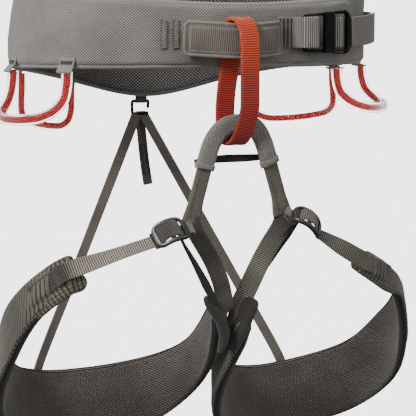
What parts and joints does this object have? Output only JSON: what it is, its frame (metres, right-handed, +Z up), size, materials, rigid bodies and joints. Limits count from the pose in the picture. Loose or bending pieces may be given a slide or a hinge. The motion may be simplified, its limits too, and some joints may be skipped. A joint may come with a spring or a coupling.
{
  "type": "climbing harness",
  "caption": "Sport climbing harness with padded waist belt, tie-in bar, orange-red belay loop, tube-covered gear loops, buckled leg loops and elastic risers.",
  "frame": {"origin": "middle of the waist opening, halfway up the front of the belt", "axes": "+Z up along the wearer's body, -Y the way the wearer faces, +X the wearer's left"},
  "size_m": [0.3623, 0.2436, 0.4029],
  "materials": {
    "belt_face": "light warm grey fine diamond weave",
    "webbing": "dark olive woven webbing",
    "waist_web": "grey ribbed webbing",
    "strap_web": "cream and brown cross-ribbed webbing",
    "riser": "brown-grey elastic",
    "black": "black ribbon",
    "foam": "closed-cell foam, hidden",
    "lining": "grey mesh",
    "binding": "grey edge tape",
    "sleeve": "brown-grey cover with zigzag stitching",
    "belay": "orange-red woven webbing",
    "tab": "grey webbing with bartacks",
    "gear_core": "red core",
    "gear_sheath": "clear tube",
    "leg_face": "dark olive ribbed weave",
    "leg_lining": "dark brown-grey mesh",
    "alloy": "grey anodised",
    "black_alloy": "black anodised"
  },
  "bodies": {
    "waist_belt": {"belt_shell": "belt_face", "belt_webbing": "webbing", "belt_foam": "foam", "belt_liner": "lining", "belt_binding_bottom": "binding", "belt_binding_top": "binding", "tie_in_sleeve": "sleeve", "tie_in_webbing": "webbing", "buckle_webbing": "waist_web", "waist_strap": "waist_web", "rear_hook_tab": "tab", "haul_loop": "tab"},
    "waist_buckle": {"waist_buckle_frame": "black_alloy", "buckle_webbing_fold": "waist_web", "waist_strap_thread": "waist_web", "waist_strap_tail": "waist_web"},
    "waist_slider": {"waist_buckle_slider": "black_alloy"},
    "belay_loop_body": {"belay_loop": "belay"},
    "bridge_body": {"bridge_webbing": "webbing", "bridge_sleeve": "sleeve", "bridge_cross_strap": "black"},
    "rear_hook_body": {"rear_hook": "black_alloy", "riser_tail": "riser"},
    "gear_loop_right_front": {"gear_tab_right_front_front": "tab", "gear_tab_right_front_rear": "tab", "gear_core_right_front": "gear_core", "gear_sheath_right_front": "gear_sheath"},
    "gear_loop_right_rear": {"gear_tab_right_rear_front": "tab", "gear_tab_right_rear_rear": "tab", "gear_core_right_rear": "gear_core", "gear_sheath_right_rear": "gear_sheath"},
    "gear_loop_left_front": {"gear_tab_left_front_front": "tab", "gear_tab_left_front_rear": "tab", "gear_core_left_front": "gear_core", "gear_sheath_left_front": "gear_sheath"},
    "gear_loop_left_rear": {"gear_tab_left_rear_front": "tab", "gear_tab_left_rear_rear": "tab", "gear_core_left_rear": "gear_core", "gear_sheath_left_rear": "gear_sheath"},
    "leg_loop_right": {"leg_shell_right": "leg_face", "leg_foam_right": "foam", "leg_liner_right": "leg_lining", "leg_strap_right": "strap_web", "leg_buckle_webbing_right": "webbing", "leg_inner_strap_right": "webbing", "riser_right": "riser"},
    "leg_buckle_body_right": {"leg_buckle_right": "alloy", "leg_strap_thread_right": "strap_web"},
    "leg_loop_left": {"leg_shell_left": "leg_face", "leg_foam_left": "foam", "leg_liner_left": "leg_lining", "leg_strap_left": "strap_web", "leg_buckle_webbing_left": "webbing", "leg_inner_strap_left": "webbing", "riser_left": "riser"},
    "leg_buckle_body_left": {"leg_buckle_left": "alloy", "leg_strap_thread_left": "strap_web"}
  },
  "joints": [
    {"name": "belay_loop_swing", "type": "hinge", "parent": "waist_belt", "child": "belay_loop_body", "pos_m": [-0.008, -0.1125, -0.004], "axis": [-1, 0, 0], "range_deg": [0, 5]},
    {"name": "bridge_tilt", "type": "hinge", "parent": "waist_belt", "child": "bridge_body", "pos_m": [-0.005, -0.106, -0.139], "axis": [1, 0, 0], "range_deg": [-0.5, 8]},
    {"name": "leg_right_swing", "type": "hinge", "parent": "waist_belt", "child": "leg_loop_right", "pos_m": [-0.046, -0.107, -0.142], "axis": [-1, 0, 0], "range_deg": [-10, 20], "stiffness_Nm_per_rad": 8, "deforming": ["riser_right"]},
    {"name": "leg_left_swing", "type": "hinge", "parent": "waist_belt", "child": "leg_loop_left", "pos_m": [0.035, -0.107, -0.14], "axis": [-1, 0, 0], "range_deg": [-10, 20], "stiffness_Nm_per_rad": 8, "deforming": ["riser_left"]},
    {"name": "gear_loop_right_front_swing", "type": "hinge", "parent": "waist_belt", "child": "gear_loop_right_front", "pos_m": [-0.14004, -0.03162, -0.01403], "axis": [-0.3381, 0.941, -0.015], "range_deg": [-2, 60], "stiffness_Nm_per_rad": 0.1},
    {"name": "gear_loop_right_rear_swing", "type": "hinge", "parent": "waist_belt", "child": "gear_loop_right_rear", "pos_m": [-0.09665, 0.0815, -0.02566], "axis": [0.8833, 0.4311, -0.184], "range_deg": [-2, 60], "stiffness_Nm_per_rad": 0.1},
    {"name": "gear_loop_left_front_swing", "type": "hinge", "parent": "waist_belt", "child": "gear_loop_left_front", "pos_m": [0.11972, -0.05343, -0.01374], "axis": [-0.6588, -0.7523, 0.007], "range_deg": [-2, 40], "stiffness_Nm_per_rad": 0.1},
    {"name": "gear_loop_left_rear_swing", "type": "hinge", "parent": "waist_belt", "child": "gear_loop_left_rear", "pos_m": [0.12147, 0.05749, -0.02067], "axis": [0.6782, -0.7246, 0.1227], "range_deg": [-2, 60], "stiffness_Nm_per_rad": 0.1},
    {"name": "waist_buckle_tilt", "type": "hinge", "parent": "waist_belt", "child": "waist_buckle", "pos_m": [0.05234, -0.10419, 0.0015], "axis": [0, 0, -1], "range_deg": [0, 12], "stiffness_Nm_per_rad": 0.05},
    {"name": "waist_slider_slide", "type": "slide", "parent": "waist_buckle", "child": "waist_slider", "axis": [0.9608, 0.2771, 0], "range_m": [-0.002, 0.002]},
    {"name": "leg_buckle_right_tilt", "type": "hinge", "parent": "leg_loop_right", "child": "leg_buckle_body_right", "pos_m": [-0.05805, -0.12383, -0.14241], "axis": [-0.1317, 0.7284, 0.6724], "range_deg": [0, 10], "stiffness_Nm_per_rad": 0.05},
    {"name": "leg_buckle_left_tilt", "type": "hinge", "parent": "leg_loop_left", "child": "leg_buckle_body_left", "pos_m": [0.04033, -0.1159, -0.13721], "axis": [-0.4916, -0.7574, -0.4297], "range_deg": [0, 10], "stiffness_Nm_per_rad": 0.05},
    {"name": "rear_hook_rock", "type": "hinge", "parent": "waist_belt", "child": "rear_hook_body", "pos_m": [-0.003, 0.1042, -0.0716], "axis": [1, 0, 0], "range_deg": [-3, 3], "stiffness_Nm_per_rad": 0.02}
  ],
  "couplings": [
    {"joint": "bridge_tilt", "follows": "belay_loop_swing", "ratio": 1.33}
  ]
}
